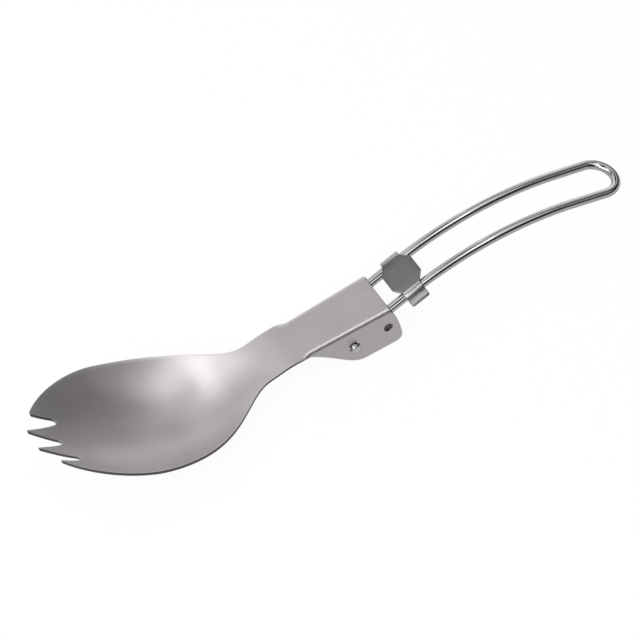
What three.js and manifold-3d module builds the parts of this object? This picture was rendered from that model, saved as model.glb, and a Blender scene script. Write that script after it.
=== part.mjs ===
// A folding titanium spork: a stamped sheet head, a bent wire handle that folds under it, and a slide that
// locks the handle. Sizes are in millimetres.
//
// The pieces are laid out round the hinge pin: its centre is the origin, +X runs towards the handle's loop,
// +Y across the spork and +Z square to the flat plate behind the neck. The finished group is then tilted
// until the bowl and the flanges rest on the ground, with +Z up.

import * as THREE from "three";
import { mergeVertices } from "three/addons/utils/BufferGeometryUtils.js";
import Module from "manifold-3d";

// Sheet of the head.
const SHEET = 0.8;

// Bowl outline, seen from above.
const BOWL_WIDTH = 37;
const NOSE_LENGTH = 23.9; // from the widest place to the nose
const SHOULDER_LENGTH = 34.5; // from the widest place to the neck
const SHOULDER_FULLNESS = 22; // how far the curve holds the bowl's full width
const SHOULDER_HOLLOW = 8; // how far the curve holds the neck's width
const NOSE_POWER = 1.75; // exponent of the nose's outline: 2 is an ellipse, less is more pointed
const NOSE_START = THREE.MathUtils.degToRad(9); // the blunt end of the nose, which the middle slot removes
const NECK_WIDTH = 12.8;
const NECK_LENGTH = 7.8; // from the bowl's shoulder to the start of the flanges' bend
const NECK_BLEND = 4; // run over which the bowl's section becomes the channel's, ahead of the neck

// Bowl seen from the side.
const TIP_RISE = 18.1; // of the tine tips above the plate
const BOWL_DEPTH = 8.5;
const DISH_POWER = 2.1; // exponent of the bowl's cross-section

// Rim height as a share of TIP_RISE, and depth as a share of BOWL_DEPTH, from the neck (0) to the nose (1).
const RIM_SHAPE = [
  [0, 0],
  [0.04, 0],
  [0.104, -0.04],
  [0.236, -0.096],
  [0.389, -0.022],
  [0.557, 0.198],
  [0.74, 0.533],
  [1, 1],
];
const DEPTH_SHAPE = [
  [0, 0],
  [0.04, 0],
  [0.104, 0.035],
  [0.227, 0.235],
  [0.349, 0.66],
  [0.471, 0.94],
  [0.592, 1],
  [0.755, 0.85],
  [0.903, 0.46],
  [1, 0],
];

// Tines: three slots that widen towards the nose.
const SLOT_END_RADIUS = 0.85;
const MIDDLE_SLOT_LENGTH = 6.6;
const OUTER_SLOT_LENGTH = 8.3;
const OUTER_SLOT_OFFSET = 6.5; // of the slot's closed end from the centre line
const INNER_TIP_OFFSET = 2.95;
const OUTER_TIP_OFFSET = 8.05;
const OUTER_TIP_SETBACK = 3.0; // of the outer tips behind the nose
const SLOT_OVERRUN = 3; // how far the slots' sides run past the tips, in slot lengths

// Wire handle.
const WIRE_DIAMETER = 2.35;
const LEG_SPACING_AT_PIN = 9.3; // between the legs' centres
const LOOP_WIDTH = 10.6; // between the legs' centres where the loop starts
const LEG_RISE = THREE.MathUtils.degToRad(16.6); // of the legs above the plate's direction
const LEG_STRAIGHT = 17.6; // from the pin to the start of the arch
const ARCH_RADIUS = 79.3;
const ARCH_BEND = THREE.MathUtils.degToRad(35.2);
const LEG_TAIL = 9.6; // straight stretch between the arch and the loop
const PIN_BEND_RADIUS = 1.6;
const PIN_PROUD = 1.15; // of the wire's ends outside the flanges
const LEG_CLEARANCE = 0.3; // between a leg and its flange
const PIN_CLEARANCE = 0.3; // round the wire in its hinge hole
const WIRE_SIDES = 10;
const WIRE_STEP = 1.1;

// Channel: the flat plate and the two flanges.
const PLATE_HEIGHT = 5.74; // of the plate's top above the pin
const PLATE_TAPER = 0.03; // gain of the half width for each millimetre towards the handle
const BEND_RADIUS = 1.5; // outside the sheet
const FLANGE_SPLAY = THREE.MathUtils.degToRad(5);
const FLANGE_DROP = 5.7; // of the flanges' lower edge below the pin
const BEND_START = -15; // where the sheet starts to turn down at its sides
const BEND_RUN = 4.5; // length over which it turns from flat to bent
const FLANGE_START = -11.3; // where the flanges leave the bend
const FLANGE_SLOPE_RUN = 6.25; // pull of the flanges' sloping front edge at its upper end, along X
const FLANGE_SLOPE_FALL = 4.1; // the same pull, downwards
const FLANGE_TOE = 3.8; // pull at its lower end, where it turns level
const FLANGE_FLOOR_START = 2; // where their lower edge turns level
const FLANGE_FLARE = 1.35; // of the flanges' rear edge behind the plate's
const FLANGE_CORNER = 2.2; // reach of the rounded corner between their lower and rear edges
const CORNER_OVERCUT = 0.1; // of that corner's curve past the lower edge
const PLATE_REAR = 11.3;

// Detent dents, punched from outside.
const DENT_REACH = 9.5;
const DENT_HEIGHT = 0.4;
const DENT_RADIUS = 1.3;
const DENT_DEPTH = 0.6;

// Slide lock.
const LOCK_SHEET = 0.5;
const LOCK_CLEARANCE = 0.3; // round each leg
const LOCK_REACH = 19.7; // from the pin along the legs
const LOCK_FIT_REACH = 35; // where the rolls are centred on the legs, which spread towards the loop
const ROLL_LENGTH = 5.2;
const HEAD_LOBE_REACH = 1.6; // of the plate beyond the rolls, towards the head
const LOOP_LOBE_REACH = 2.0; // the same, towards the loop
const LOBE_WIDTH = 5.0;
const WING_WIDTH = 1.6;

// Facet counts.
const HALF_STEPS = 10; // across half of the head
const FLAT_STEPS = 3;
const BEND_STEPS = 3;
const CURL_SHARE = 0.8; // of the sheet outside the plate that the bend's facets take while it is narrow
const NOSE_STEPS = 13;
const SHOULDER_STEPS = 14;
const NECK_STEPS = 5;
const TWIST_STEPS = 6;
const FLANGE_STEPS = 9;
const FLOOR_STEPS = 4;
const HOLE_SIDES = 20;
const DENT_SIDES = 14;
const ARC_STEPS = 8;

const TILT_ROUNDS = 12; // of the search for the resting tilt

const wireRadius = WIRE_DIAMETER / 2;
const fullBend = Math.PI / 2 - FLANGE_SPLAY;
const neckStart = BEND_START - NECK_LENGTH;
const widestX = neckStart - SHOULDER_LENGTH;
const noseX = widestX - NOSE_LENGTH;
const rearX = PLATE_REAR + FLANGE_FLARE;

const wasm = await Module();
wasm.setup();

/** A closed three.js geometry as a solid that can be joined and cut. */
function solidOf(geometry) {
  const bare = new THREE.BufferGeometry();
  bare.setAttribute("position", geometry.getAttribute("position"));
  bare.setIndex(geometry.getIndex());
  const merged = mergeVertices(bare, 1e-4);
  return new wasm.Manifold(
    new wasm.Mesh({
      numProp: 3,
      vertProperties: merged.getAttribute("position").array,
      triVerts: new Uint32Array(merged.getIndex().array),
    }),
  );
}

/** A solid as a three.js geometry. */
function geometryOf(solid) {
  const mesh = solid.getMesh();
  const geometry = new THREE.BufferGeometry();
  geometry.setAttribute("position", new THREE.BufferAttribute(mesh.vertProperties, 3));
  geometry.setIndex(new THREE.BufferAttribute(mesh.triVerts, 1));
  geometry.computeVertexNormals();
  return geometry;
}

/** An outline in X and Z, extruded the same distance to both sides along Y. */
function acrossY(shape, width) {
  const geometry = new THREE.ExtrudeGeometry(shape, {
    depth: width,
    bevelEnabled: false,
    curveSegments: ARC_STEPS,
  });
  geometry.translate(0, 0, -width / 2);
  const toSide = new THREE.Matrix4().makeBasis(
    new THREE.Vector3(1, 0, 0),
    new THREE.Vector3(0, 0, 1),
    new THREE.Vector3(0, -1, 0),
  );
  return geometry.applyMatrix4(toSide);
}

/** A smooth function of t through the given [t, value] points. */
function through(points) {
  const slope = (i) => {
    const before = points[Math.max(i - 1, 0)];
    const after = points[Math.min(i + 1, points.length - 1)];
    return (after[1] - before[1]) / (after[0] - before[0]);
  };
  return (t) => {
    const clamped = THREE.MathUtils.clamp(t, points[0][0], points.at(-1)[0]);
    const next = Math.max(1, points.findIndex((p) => p[0] >= clamped));
    const [t0, v0] = points[next - 1];
    const [t1, v1] = points[next];
    const span = t1 - t0;
    const u = (clamped - t0) / span;
    const bump = u * (1 - u) * span;
    const ease = u * u * (3 - 2 * u);
    return v0 + (v1 - v0) * ease + bump * ((1 - u) * slope(next - 1) - u * slope(next));
  };
}

const rimShape = through(RIM_SHAPE);
const depthShape = through(DEPTH_SHAPE);

const shoulder = new THREE.CubicBezierCurve(
  new THREE.Vector2(widestX, BOWL_WIDTH / 2),
  new THREE.Vector2(widestX + SHOULDER_FULLNESS, BOWL_WIDTH / 2),
  new THREE.Vector2(neckStart - SHOULDER_HOLLOW, NECK_WIDTH / 2),
  new THREE.Vector2(neckStart, NECK_WIDTH / 2),
);

const curl = BEND_RADIUS * fullBend; // length of sheet in the finished bend
const bendDrop = BEND_RADIUS * (1 - Math.cos(fullBend));
const flangeEdge = new THREE.CubicBezierCurve(
  new THREE.Vector2(FLANGE_START, PLATE_HEIGHT - bendDrop),
  new THREE.Vector2(FLANGE_START + FLANGE_SLOPE_RUN, PLATE_HEIGHT - bendDrop - FLANGE_SLOPE_FALL),
  new THREE.Vector2(FLANGE_FLOOR_START - FLANGE_TOE, -FLANGE_DROP),
  new THREE.Vector2(FLANGE_FLOOR_START, -FLANGE_DROP),
);

/** Outside half width of the channel at the level of the plate's bend. */
function channelHalf(x) {
  const atPin = LEG_SPACING_AT_PIN / 2 + wireRadius + LEG_CLEARANCE + SHEET;
  return atPin - PLATE_HEIGHT * Math.tan(FLANGE_SPLAY) + PLATE_TAPER * x;
}

/** Half width of the plate between its two bends. */
function flatHalf(x) {
  return channelHalf(x) - BEND_RADIUS * Math.sin(fullBend);
}

/** Stations along the head: where each cross-section stands, and its half width laid out flat. */
function headStations() {
  const stations = [];
  for (let i = 0; i < NOSE_STEPS; i += 1) {
    const angle = THREE.MathUtils.lerp(NOSE_START, Math.PI / 2, i / NOSE_STEPS);
    stations.push({
      x: widestX - NOSE_LENGTH * Math.cos(angle) ** (2 / NOSE_POWER),
      reach: (BOWL_WIDTH / 2) * Math.sin(angle) ** (2 / NOSE_POWER),
    });
  }
  for (let i = 0; i < SHOULDER_STEPS; i += 1) {
    const place = shoulder.getPoint(i / SHOULDER_STEPS);
    stations.push({ x: place.x, reach: place.y });
  }
  for (let i = 0; i < NECK_STEPS; i += 1) {
    const x = THREE.MathUtils.lerp(neckStart, BEND_START, i / NECK_STEPS);
    stations.push({ x, reach: NECK_WIDTH / 2 });
  }
  for (let i = 0; i < TWIST_STEPS; i += 1) {
    const x = THREE.MathUtils.lerp(BEND_START, FLANGE_START, i / TWIST_STEPS);
    stations.push({ x, reach: THREE.MathUtils.lerp(NECK_WIDTH / 2, flatHalf(x) + curl, i / TWIST_STEPS) });
  }
  const flangeReach = (x, z) => flatHalf(x) + curl + (PLATE_HEIGHT - bendDrop - z) / Math.cos(FLANGE_SPLAY);
  for (let i = 0; i <= FLANGE_STEPS; i += 1) {
    const place = flangeEdge.getPoint(i / FLANGE_STEPS);
    stations.push({ x: place.x, reach: flangeReach(place.x, place.y) });
  }
  for (let i = 1; i <= FLOOR_STEPS; i += 1) {
    const x = THREE.MathUtils.lerp(FLANGE_FLOOR_START, rearX + SHEET, i / FLOOR_STEPS);
    stations.push({ x, reach: flangeReach(x, -FLANGE_DROP) });
  }
  return stations;
}

/** Points of the head's upper face across one station, from its centre line to its edge. */
function halfSection({ x, reach }) {
  const along = THREE.MathUtils.clamp((BEND_START - x) / (BEND_START - noseX), 0, 1);
  const rim = PLATE_HEIGHT + TIP_RISE * rimShape(along);
  const depth = BOWL_DEPTH * depthShape(along);
  const bend = fullBend * THREE.MathUtils.smoothstep(x, BEND_START, BEND_START + BEND_RUN);
  const turned = THREE.MathUtils.smoothstep(x, neckStart - NECK_BLEND, BEND_START);
  const flat = flatHalf(x);
  const curled = Math.min(curl, CURL_SHARE * (reach - flat));
  const points = [];
  for (let i = 0; i <= HALF_STEPS; i += 1) {
    const even = (reach * i) / HALF_STEPS;
    const onFlat = Math.min(i / FLAT_STEPS, 1) * flat;
    const onBend = THREE.MathUtils.clamp((i - FLAT_STEPS) / BEND_STEPS, 0, 1) * curled;
    const left = Math.max(i - FLAT_STEPS - BEND_STEPS, 0) / (HALF_STEPS - FLAT_STEPS - BEND_STEPS);
    const run = THREE.MathUtils.lerp(even, onFlat + onBend + left * (reach - flat - curled), turned);
    const past = Math.max(run - flat, 0);
    const angle = bend * Math.min(past / curl, 1);
    const radius = bend > 0 ? curl / bend : 0;
    const straight = Math.max(past - curl, 0);
    const sweep = bend > 0 ? radius * Math.sin(angle) : Math.min(past, curl);
    const fall = bend > 0 ? radius * (1 - Math.cos(angle)) : 0;
    const y = Math.min(run, flat) + sweep + straight * Math.cos(bend);
    const dish = depth * (1 - Math.min(run / reach, 1) ** DISH_POWER);
    points.push(new THREE.Vector3(x, y, rim - dish - fall - straight * Math.sin(bend)));
  }
  return points;
}

/**
 * The head's sheet before it is cut: the upper face, the same face one thickness below, and the edges. The
 * bowl's edge is trimmed upright, the channel's square to the sheet.
 */
function headSheet() {
  const rows = headStations().map((station) => {
    const half = halfSection(station);
    const mirrored = half.slice(1).reverse();
    return [...mirrored.map((p) => new THREE.Vector3(p.x, -p.y, p.z)), ...half];
  });
  const columns = rows[0].length;
  const at = (i, j) => {
    const row = rows[THREE.MathUtils.clamp(i, 0, rows.length - 1)];
    return row[THREE.MathUtils.clamp(j, 0, columns - 1)];
  };
  const upper = [];
  const lower = [];
  for (let i = 0; i < rows.length; i += 1) {
    for (let j = 0; j < columns; j += 1) {
      const lengthwise = at(i + 1, j).clone().sub(at(i - 1, j));
      const crosswise = at(i, j + 1).clone().sub(at(i, j - 1));
      const normal = lengthwise.cross(crosswise).normalize();
      const under = at(i, j).clone().addScaledVector(normal, -SHEET);
      if (i === 0 || j === 0 || j === columns - 1) {
        const trimmed = at(i, j).clone();
        trimmed.z -= SHEET / normal.z;
        under.lerp(trimmed, 1 - THREE.MathUtils.smoothstep(at(i, j).x, neckStart, BEND_START));
      }
      upper.push(at(i, j));
      lower.push(under);
    }
  }
  const points = [...upper, ...lower];
  const top = (i, j) => i * columns + j;
  const bottom = (i, j) => upper.length + i * columns + j;
  const triangles = [];
  const quad = (a, b, c, d) => triangles.push(a, b, c, a, c, d);
  for (let i = 0; i + 1 < rows.length; i += 1) {
    for (let j = 0; j + 1 < columns; j += 1) {
      quad(top(i, j), top(i + 1, j), top(i + 1, j + 1), top(i, j + 1));
      quad(bottom(i, j), bottom(i, j + 1), bottom(i + 1, j + 1), bottom(i + 1, j));
    }
    const last = columns - 1;
    quad(top(i, 0), bottom(i, 0), bottom(i + 1, 0), top(i + 1, 0));
    quad(top(i, last), top(i + 1, last), bottom(i + 1, last), bottom(i, last));
  }
  const end = rows.length - 1;
  for (let j = 0; j + 1 < columns; j += 1) {
    quad(top(0, j), top(0, j + 1), bottom(0, j + 1), bottom(0, j));
    quad(top(end, j), bottom(end, j), bottom(end, j + 1), top(end, j + 1));
  }
  const geometry = new THREE.BufferGeometry().setFromPoints(points);
  geometry.setIndex(triangles);
  return geometry;
}

/** A slot with a round end at (endX, endY) whose sides run past the two tine tips beside it. */
function slotCutter(endX, endY, tipA, tipB) {
  const end = new THREE.Vector2(endX, endY);
  const mouth = tipA.clone().add(tipB).multiplyScalar(0.5);
  const centre = mouth.clone().sub(end).setLength(SLOT_END_RADIUS).add(end);
  const tangentAngle = (tip, side) => {
    const away = tip.clone().sub(centre);
    return away.angle() + side * Math.acos(SLOT_END_RADIUS / away.length());
  };
  const touch = (angle) =>
    new THREE.Vector2(Math.cos(angle), Math.sin(angle)).multiplyScalar(SLOT_END_RADIUS).add(centre);
  const from = tangentAngle(tipA, -1);
  const to = tangentAngle(tipB, 1);
  const past = (tip, foot) => tip.clone().sub(foot).multiplyScalar(SLOT_OVERRUN).add(foot);
  const outerA = past(tipA, touch(from));
  const outerB = past(tipB, touch(to));
  const shape = new THREE.Shape();
  shape.moveTo(outerA.x, outerA.y);
  shape.lineTo(touch(from).x, touch(from).y);
  shape.absarc(centre.x, centre.y, SLOT_END_RADIUS, from, to, true);
  shape.lineTo(outerB.x, outerB.y);
  const tall = 2 * (TIP_RISE + BOWL_DEPTH + PLATE_HEIGHT);
  const geometry = new THREE.ExtrudeGeometry(shape, {
    depth: tall,
    bevelEnabled: false,
    curveSegments: ARC_STEPS,
  });
  return solidOf(geometry.translate(0, 0, -tall / 2));
}

/** The three slots between the tines. */
function tineSlots() {
  const tip = (x, y) => new THREE.Vector2(x, y);
  const outerX = noseX + OUTER_TIP_SETBACK;
  const middle = slotCutter(
    noseX + MIDDLE_SLOT_LENGTH,
    0,
    tip(noseX, INNER_TIP_OFFSET),
    tip(noseX, -INNER_TIP_OFFSET),
  );
  const far = slotCutter(
    noseX + OUTER_SLOT_LENGTH,
    OUTER_SLOT_OFFSET,
    tip(outerX, OUTER_TIP_OFFSET),
    tip(noseX, INNER_TIP_OFFSET),
  );
  const near = slotCutter(
    noseX + OUTER_SLOT_LENGTH,
    -OUTER_SLOT_OFFSET,
    tip(noseX, -INNER_TIP_OFFSET),
    tip(outerX, -OUTER_TIP_OFFSET),
  );
  return [middle, far, near];
}

/** Everything behind the plate's rear edge and the flanges' bowed rear edges. */
function rearCutter() {
  const over = PLATE_HEIGHT + SHEET;
  const under = -FLANGE_DROP - SHEET;
  const shape = new THREE.Shape();
  shape.moveTo(PLATE_REAR, over);
  shape.lineTo(PLATE_REAR, PLATE_HEIGHT - SHEET);
  shape.quadraticCurveTo(rearX, PLATE_HEIGHT / 2, rearX, FLANGE_CORNER - FLANGE_DROP);
  shape.quadraticCurveTo(rearX, -FLANGE_DROP, rearX - FLANGE_CORNER, -FLANGE_DROP - CORNER_OVERCUT);
  shape.lineTo(rearX - FLANGE_CORNER, under);
  shape.lineTo(rearX + BOWL_WIDTH, under);
  shape.lineTo(rearX + BOWL_WIDTH, over);
  return solidOf(acrossY(shape, BOWL_WIDTH));
}

/** Outside half width of the channel at a height above the pin. */
function flangeFace(x, z) {
  return channelHalf(x) + (PLATE_HEIGHT - z) * Math.tan(FLANGE_SPLAY);
}

/** The round punch that leaves one flange's detent dent. */
function dentCutter(side) {
  const radius = (DENT_RADIUS ** 2 + DENT_DEPTH ** 2) / (2 * DENT_DEPTH);
  const ball = new THREE.SphereGeometry(radius, DENT_SIDES, DENT_SIDES);
  const face = flangeFace(DENT_REACH, DENT_HEIGHT);
  return solidOf(ball.translate(DENT_REACH, side * (face + radius - DENT_DEPTH), DENT_HEIGHT));
}

/** The hinge holes through both flanges. */
function hingeHoles() {
  const radius = wireRadius + PIN_CLEARANCE;
  return solidOf(new THREE.CylinderGeometry(radius, radius, BOWL_WIDTH, HOLE_SIDES));
}

/** The stamped head: bowl, tines, neck and channel. */
function sporkHead() {
  let solid = solidOf(headSheet());
  const cutters = [...tineSlots(), rearCutter(), hingeHoles(), dentCutter(1), dentCutter(-1)];
  for (const cutter of cutters) solid = solid.subtract(cutter);
  return geometryOf(solid);
}

const legLength = LEG_STRAIGHT + ARCH_RADIUS * ARCH_BEND + LEG_TAIL;

/** Side view of a leg: its place and its direction at a distance from the pin, along the wire. */
function legPlace(distance) {
  const straight = Math.min(distance, LEG_STRAIGHT);
  const turned = THREE.MathUtils.clamp((distance - LEG_STRAIGHT) / ARCH_RADIUS, 0, ARCH_BEND);
  const tail = Math.max(distance - LEG_STRAIGHT - ARCH_RADIUS * ARCH_BEND, 0);
  const angle = LEG_RISE - turned;
  const archX = ARCH_RADIUS * (Math.sin(LEG_RISE) - Math.sin(angle));
  const archZ = ARCH_RADIUS * (Math.cos(angle) - Math.cos(LEG_RISE));
  return {
    x: straight * Math.cos(LEG_RISE) + archX + tail * Math.cos(angle),
    z: straight * Math.sin(LEG_RISE) + archZ + tail * Math.sin(angle),
    angle,
  };
}

/** Half of the spacing between the legs at a distance from the pin. */
function legHalfSpacing(distance) {
  return THREE.MathUtils.lerp(LEG_SPACING_AT_PIN, LOOP_WIDTH, distance / legLength) / 2;
}

/** One leg of the wire, from one distance along it to another, on the side given. */
class Leg extends THREE.Curve {
  constructor(side, from, to) {
    super();
    this.side = side;
    this.from = from;
    this.to = to;
  }

  getPoint(t, target = new THREE.Vector3()) {
    const distance = THREE.MathUtils.lerp(this.from, this.to, t);
    const { x, z } = legPlace(distance);
    return target.set(x, this.side * legHalfSpacing(distance), z);
  }
}

/** An arc that starts at centre - radius * back and turns towards ahead. */
class Arc extends THREE.Curve {
  constructor(centre, back, ahead, radius, sweep) {
    super();
    this.centre = centre;
    this.back = back;
    this.ahead = ahead;
    this.radius = radius;
    this.sweep = sweep;
  }

  getPoint(t, target = new THREE.Vector3()) {
    const angle = this.sweep * t;
    target.copy(this.centre);
    target.addScaledVector(this.back, -this.radius * Math.cos(angle));
    return target.addScaledVector(this.ahead, this.radius * Math.sin(angle));
  }
}

/** The wire handle: pin, leg, loop, leg and pin, as one tube. */
function wireHandle() {
  const across = new THREE.Vector3(0, 1, 0);
  const along = (angle) => new THREE.Vector3(Math.cos(angle), 0, Math.sin(angle));
  const start = along(LEG_RISE);
  const legY = legHalfSpacing(PIN_BEND_RADIUS);
  const tipY = LEG_SPACING_AT_PIN / 2 + wireRadius + LEG_CLEARANCE + SHEET + PIN_PROUD;
  const bendY = legY + PIN_BEND_RADIUS;
  const bendCentre = (side) => start.clone().multiplyScalar(PIN_BEND_RADIUS).setY(side * bendY);
  const loopStart = legPlace(legLength);
  const loopCentre = new THREE.Vector3(loopStart.x, 0, loopStart.z);
  const right = Math.PI / 2;
  const path = new THREE.CurvePath();
  path.add(new THREE.LineCurve3(new THREE.Vector3(0, -tipY, 0), new THREE.Vector3(0, -bendY, 0)));
  path.add(new Arc(bendCentre(-1), start, across, PIN_BEND_RADIUS, right));
  path.add(new Leg(-1, PIN_BEND_RADIUS, legLength));
  path.add(new Arc(loopCentre, across, along(loopStart.angle), LOOP_WIDTH / 2, Math.PI));
  path.add(new Leg(1, legLength, PIN_BEND_RADIUS));
  path.add(new Arc(bendCentre(1), across, start.clone().negate(), PIN_BEND_RADIUS, right));
  path.add(new THREE.LineCurve3(new THREE.Vector3(0, bendY, 0), new THREE.Vector3(0, tipY, 0)));
  const section = new THREE.Shape();
  section.absarc(0, 0, wireRadius, 0, 2 * Math.PI, false);
  return new THREE.ExtrudeGeometry(section, {
    steps: Math.round(path.getLength() / WIRE_STEP),
    curveSegments: WIRE_SIDES / 2,
    extrudePath: path,
  });
}

/** The slide: a band round both legs, with an octagonal plate on top and a wing where its ends meet. */
function slideLock() {
  const legY = legHalfSpacing(LOCK_FIT_REACH);
  const inner = wireRadius + LOCK_CLEARANCE;
  const outer = inner + LOCK_SHEET;
  const up = Math.PI / 2;
  const wingAngle = Math.asin(LOCK_SHEET / outer);
  const wingTip = -legY - outer - WING_WIDTH;
  const band = new THREE.Shape();
  band.absarc(legY, 0, outer, -up, up, false);
  band.absarc(-legY, 0, outer, up, 2 * up - wingAngle, false);
  band.lineTo(wingTip, LOCK_SHEET);
  band.lineTo(wingTip, -LOCK_SHEET);
  band.absarc(-legY, 0, outer, 2 * up + wingAngle, 3 * up, false);
  const hollow = new THREE.Path();
  hollow.absarc(legY, 0, inner, -up, up, false);
  hollow.absarc(-legY, 0, inner, up, 3 * up, false);
  band.holes.push(hollow);
  const rolls = new THREE.ExtrudeGeometry(band, {
    depth: ROLL_LENGTH,
    bevelEnabled: false,
    curveSegments: ARC_STEPS,
  });
  rolls.translate(0, 0, -ROLL_LENGTH / 2);
  const toLength = new THREE.Matrix4().makeBasis(
    new THREE.Vector3(0, 1, 0),
    new THREE.Vector3(0, 0, 1),
    new THREE.Vector3(1, 0, 0),
  );
  rolls.applyMatrix4(toLength);
  const rollEnd = ROLL_LENGTH / 2;
  const corners = [];
  for (const [endwise, crosswise] of [[1, -1], [1, 1], [-1, 1], [-1, -1]]) {
    const reach = endwise > 0 ? LOOP_LOBE_REACH : HEAD_LOBE_REACH;
    const lobe = new THREE.Vector2(endwise * (rollEnd + reach), (crosswise * LOBE_WIDTH) / 2);
    const side = new THREE.Vector2(endwise * rollEnd, crosswise * legY);
    corners.push(...(endwise === crosswise ? [lobe, side] : [side, lobe]));
  }
  const plate = new THREE.ExtrudeGeometry(new THREE.Shape(corners), {
    depth: LOCK_SHEET,
    bevelEnabled: false,
  });
  plate.translate(0, 0, inner);
  return geometryOf(solidOf(rolls).add(solidOf(plate)));
}

const blasted = new THREE.MeshStandardMaterial({ color: 0xaca7a8, roughness: 0.45, metalness: 1 });
const polished = new THREE.MeshStandardMaterial({ color: 0xc4c4c6, roughness: 0.12, metalness: 1 });
const satin = new THREE.MeshStandardMaterial({ color: 0x77777a, roughness: 0.3, metalness: 1 });

const head = new THREE.Mesh(sporkHead(), blasted);
head.name = "spork_head";

const handle = new THREE.Mesh(wireHandle(), polished);
handle.name = "wire_handle";

const lock = new THREE.Mesh(slideLock(), satin);
lock.name = "slide_lock";
const lockPlace = legPlace(LOCK_REACH);
lock.position.set(lockPlace.x, 0, lockPlace.z);
lock.rotation.y = -lockPlace.angle;

const spork = new THREE.Group();
spork.add(head, handle, lock);

/** Tilt about Y at which the bowl's and the flanges' lowest points are level. */
function restingTilt() {
  const positions = head.geometry.getAttribute("position");
  const point = new THREE.Vector3();
  const lowest = (tilt, keep) => {
    let best = null;
    for (let i = 0; i < positions.count; i += 1) {
      point.fromBufferAttribute(positions, i);
      if (!keep(point.x)) continue;
      const x = point.x * Math.cos(tilt) - point.z * Math.sin(tilt);
      const z = point.x * Math.sin(tilt) + point.z * Math.cos(tilt);
      if (!best || z < best.z) best = { x, z };
    }
    return best;
  };
  let tilt = 0;
  for (let round = 0; round < TILT_ROUNDS; round += 1) {
    const bowl = lowest(tilt, (x) => x < neckStart);
    const flange = lowest(tilt, (x) => x > FLANGE_START);
    tilt -= Math.atan2(flange.z - bowl.z, flange.x - bowl.x);
  }
  return tilt;
}

spork.rotation.y = -restingTilt();
spork.updateMatrixWorld(true);
const box = new THREE.Box3().setFromObject(spork, true);
spork.position.set(-(box.min.x + box.max.x) / 2, -(box.min.y + box.max.y) / 2, -box.min.z);

const group = new THREE.Group();
group.add(spork);

export default group;
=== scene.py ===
"""A folding titanium spork, dressed for a studio picture.

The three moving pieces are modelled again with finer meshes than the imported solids: the stamped head, the
bent wire handle and the slide that locks it. Sizes are in millimetres round the hinge pin, whose centre is
the origin: +X runs towards the handle's loop, +Y across the spork and +Z square to the flat plate behind the
neck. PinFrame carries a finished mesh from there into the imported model's frame, in metres.
"""

import logging
import math
from collections.abc import Callable
from dataclasses import dataclass, field
from enum import Enum, IntEnum

import bmesh
import bpy
from mathutils import Matrix, Quaternion, Vector

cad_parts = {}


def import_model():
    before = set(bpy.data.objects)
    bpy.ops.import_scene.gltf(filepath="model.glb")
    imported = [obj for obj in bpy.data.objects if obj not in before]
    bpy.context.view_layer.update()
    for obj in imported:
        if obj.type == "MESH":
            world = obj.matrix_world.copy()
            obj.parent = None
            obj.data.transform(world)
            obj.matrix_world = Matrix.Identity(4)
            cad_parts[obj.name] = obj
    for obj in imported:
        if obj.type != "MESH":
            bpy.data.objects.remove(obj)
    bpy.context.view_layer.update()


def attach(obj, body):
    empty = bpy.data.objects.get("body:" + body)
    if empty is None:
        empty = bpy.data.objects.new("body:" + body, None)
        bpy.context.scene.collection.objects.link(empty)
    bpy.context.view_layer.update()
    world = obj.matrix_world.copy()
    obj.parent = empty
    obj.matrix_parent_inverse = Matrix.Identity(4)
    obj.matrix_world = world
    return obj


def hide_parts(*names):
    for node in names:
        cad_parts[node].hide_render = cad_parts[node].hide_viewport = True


LOG = logging.getLogger("spork")
MM = 0.001
SHARP_ANGLE = math.radians(38)
MERGE_DISTANCE = 1e-5
TOUCH = 1e-4

# Sizes in millimetres that the head and the wire share.
WIRE_RADIUS = 1.175
LEG_SPACING = 9.3
LEG_CLEARANCE = 0.3
HEAD_SHEET = 0.8

Knots = tuple[tuple[float, float], ...]


def lerp(low: float, high: float, share: float) -> float:
    """The number that lies share of the way from low to high."""
    return low + (high - low) * share


def clamp(value: float, low: float = 0.0, high: float = 1.0) -> float:
    """The value held between low and high."""
    return max(low, min(high, value))


def smoothstep(value: float, low: float, high: float) -> float:
    """A smooth rise from 0 at low to 1 at high."""
    share = clamp((value - low) / (high - low))
    return share * share * (3 - 2 * share)


def through(knots: Knots) -> Callable[[float], float]:
    """A smooth curve through some points.

    Args:
        knots: (place, value) pairs, in order of place.

    Returns:
        A function of the place, held at its end values outside the knots.
    """

    def slope(index: int) -> float:
        """The curve's slope at a knot, from the knots beside it."""
        before = knots[max(index - 1, 0)]
        after = knots[min(index + 1, len(knots) - 1)]
        return (after[1] - before[1]) / (after[0] - before[0])

    def value(place: float) -> float:
        """The curve's value at a place."""
        held = clamp(place, knots[0][0], knots[-1][0])
        right = max(1, next(n for n, knot in enumerate(knots) if knot[0] >= held))
        (start, low), (end, high) = knots[right - 1], knots[right]
        span = end - start
        share = (held - start) / span
        ease = share * share * (3 - 2 * share)
        bump = share * (1 - share) * span
        return low + (high - low) * ease + bump * ((1 - share) * slope(right - 1) - share * slope(right))

    return value


def solve(function: Callable[[float], float], target: float, rounds: int = 40) -> float:
    """The share at which a rising function meets a target, by halving.

    Args:
        function: a function that rises over the shares from 0 to 1.
        target: the value to meet.
        rounds: how often the span is halved.

    Returns:
        The share.
    """
    low, high = 0.0, 1.0
    for _ in range(rounds):
        middle = (low + high) / 2
        if function(middle) < target:
            low = middle
        else:
            high = middle
    return (low + high) / 2


def cubic(points: tuple[Vector, Vector, Vector, Vector], share: float) -> Vector:
    """A point on a cubic Bezier curve.

    Args:
        points: the start, its handle, the end's handle and the end.
        share: how far along the curve, 0 to 1.

    Returns:
        The point.
    """
    rest = 1 - share
    a, b, c, d = points
    return a * rest**3 + b * 3 * rest * rest * share + c * 3 * rest * share * share + d * share**3


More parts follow.
